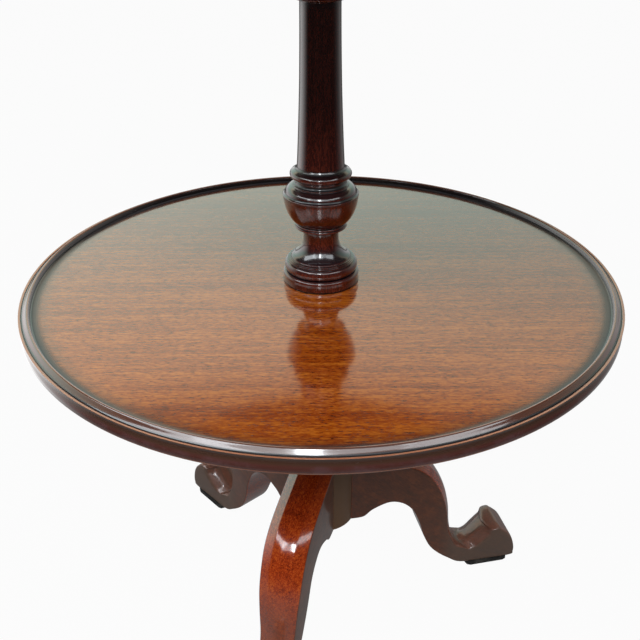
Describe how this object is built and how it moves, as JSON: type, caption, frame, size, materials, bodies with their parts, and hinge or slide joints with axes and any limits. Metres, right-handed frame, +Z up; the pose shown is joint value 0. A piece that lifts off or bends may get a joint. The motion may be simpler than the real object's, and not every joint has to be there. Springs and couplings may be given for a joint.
{
  "type": "dumbwaiter table",
  "caption": "Tiered dumbwaiter table: graduated round dished trays with moulded rims turn about a turned column on a tripod with scrolled toes.",
  "frame": {"origin": "on the floor, on the column's axis", "axes": "+Z up the column, +X to the right and +Y away from the viewer of the picture"},
  "size_m": [0.61, 0.61, 1.1504],
  "materials": {
    "tray_mahogany": "polished",
    "turned_mahogany": "polished",
    "leg_mahogany": "polished",
    "toe_pad": "matt",
    "washer": "dull",
    "screw": "dull"
  },
  "bodies": {
    "base": {"pillar": "turned_mahogany", "leg_right": "leg_mahogany", "leg_rear": "leg_mahogany", "leg_front": "leg_mahogany", "toe_pad_right": "toe_pad", "toe_pad_rear": "toe_pad", "toe_pad_front": "toe_pad", "lower_washer": "washer", "lower_column": "turned_mahogany", "middle_washer": "washer", "upper_column": "turned_mahogany", "top_washer": "washer", "top_button": "turned_mahogany"},
    "lower_tier": {"lower_tray": "tray_mahogany", "lower_collar": "turned_mahogany", "lower_boss": "turned_mahogany", "lower_boss_screw_1": "screw", "lower_boss_screw_2": "screw", "lower_boss_screw_3": "screw"},
    "middle_tier": {"middle_tray": "tray_mahogany", "middle_collar": "turned_mahogany", "middle_boss": "turned_mahogany", "middle_boss_screw_1": "screw", "middle_boss_screw_2": "screw", "middle_boss_screw_3": "screw"},
    "top_tier": {"top_tray": "tray_mahogany", "top_collar": "turned_mahogany", "top_boss": "turned_mahogany", "top_boss_screw_1": "screw", "top_boss_screw_2": "screw", "top_boss_screw_3": "screw"}
  },
  "joints": [
    {"name": "lower_tray_turn", "type": "hinge", "parent": "base", "child": "lower_tier", "pos_m": [0, 0, 0.44], "axis": [0, 0, 1], "continuous": true},
    {"name": "middle_tray_turn", "type": "hinge", "parent": "base", "child": "middle_tier", "pos_m": [0, 0, 0.775], "axis": [0, 0, 1], "continuous": true},
    {"name": "top_tray_turn", "type": "hinge", "parent": "base", "child": "top_tier", "pos_m": [0, 0, 1.11], "axis": [0, 0, 1], "continuous": true}
  ]
}
